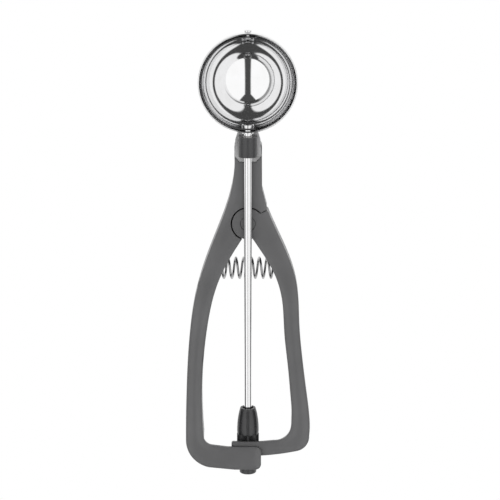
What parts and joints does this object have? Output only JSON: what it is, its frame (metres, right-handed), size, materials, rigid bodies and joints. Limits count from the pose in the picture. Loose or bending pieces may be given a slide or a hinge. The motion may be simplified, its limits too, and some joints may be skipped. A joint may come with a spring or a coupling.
{
  "type": "lever ice cream scoop",
  "caption": "Lever ice cream scoop: a mirror-steel half-ball bowl on a grey squeeze handle, whose toothed bar turns a rod and a sweep blade against a spring.",
  "frame": {"origin": "middle of the object's bounding box in X and Y, at the height of the lowest point of the bowl", "axes": "+X to the squeeze lever's side, as the picture shows it; +Y along the rod from the foot to the bowl; +Z out of the bowl's mouth"},
  "size_m": [0.0746, 0.271, 0.0424],
  "materials": {
    "mirror_steel": "mirror-polished stainless steel",
    "satin_steel": "satin stainless sheet",
    "rod_steel": "polished stainless rod",
    "spring_steel": "bright drawn spring wire",
    "screw_steel": "plain turned steel",
    "grey_plastic": "mid-grey moulded plastic with a fine satin texture",
    "dark_plastic": "dark grey moulded plastic, half gloss",
    "bearing_plastic": "off-white bearing plastic"
  },
  "bodies": {
    "frame": {"bowl": "mirror_steel", "bowl_saddle": "satin_steel", "rod_collar": "dark_plastic", "collar_bushing": "bearing_plastic", "bowl_bushing": "mirror_steel", "tip_eyelet": "mirror_steel", "collar_screws": "screw_steel", "frame_handle": "grey_plastic", "foot_bushing": "bearing_plastic", "lever_pivot_pin": "grey_plastic", "pivot_washer": "screw_steel", "pivot_push_nut": "screw_steel", "return_spring": "spring_steel"},
    "lever": {"squeeze_lever": "grey_plastic", "pivot_sleeve": "bearing_plastic"},
    "rotor": {"drive_rod": "rod_steel", "pinion": "dark_plastic", "pinion_cross_pin": "screw_steel", "end_cap": "dark_plastic", "cap_screw": "screw_steel", "sweep_blade": "mirror_steel", "blade_nut": "mirror_steel", "blade_tip_pin": "mirror_steel"}
  },
  "joints": [
    {"name": "lever_squeeze", "type": "hinge", "parent": "frame", "child": "lever", "pos_m": [0, 0.01932, 0.0292], "axis": [0, 0, -1], "range_deg": [0, 6.8], "stiffness_Nm_per_rad": 8, "springref_deg": -5.73, "deforming": ["return_spring"]},
    {"name": "blade_spin", "type": "hinge", "parent": "frame", "child": "rotor", "pos_m": [0, 0, 0.0292], "axis": [0, -1, 0], "range_deg": [0, 180]}
  ],
  "couplings": [
    {"joint": "blade_spin", "follows": "lever_squeeze", "ratio": 26}
  ]
}
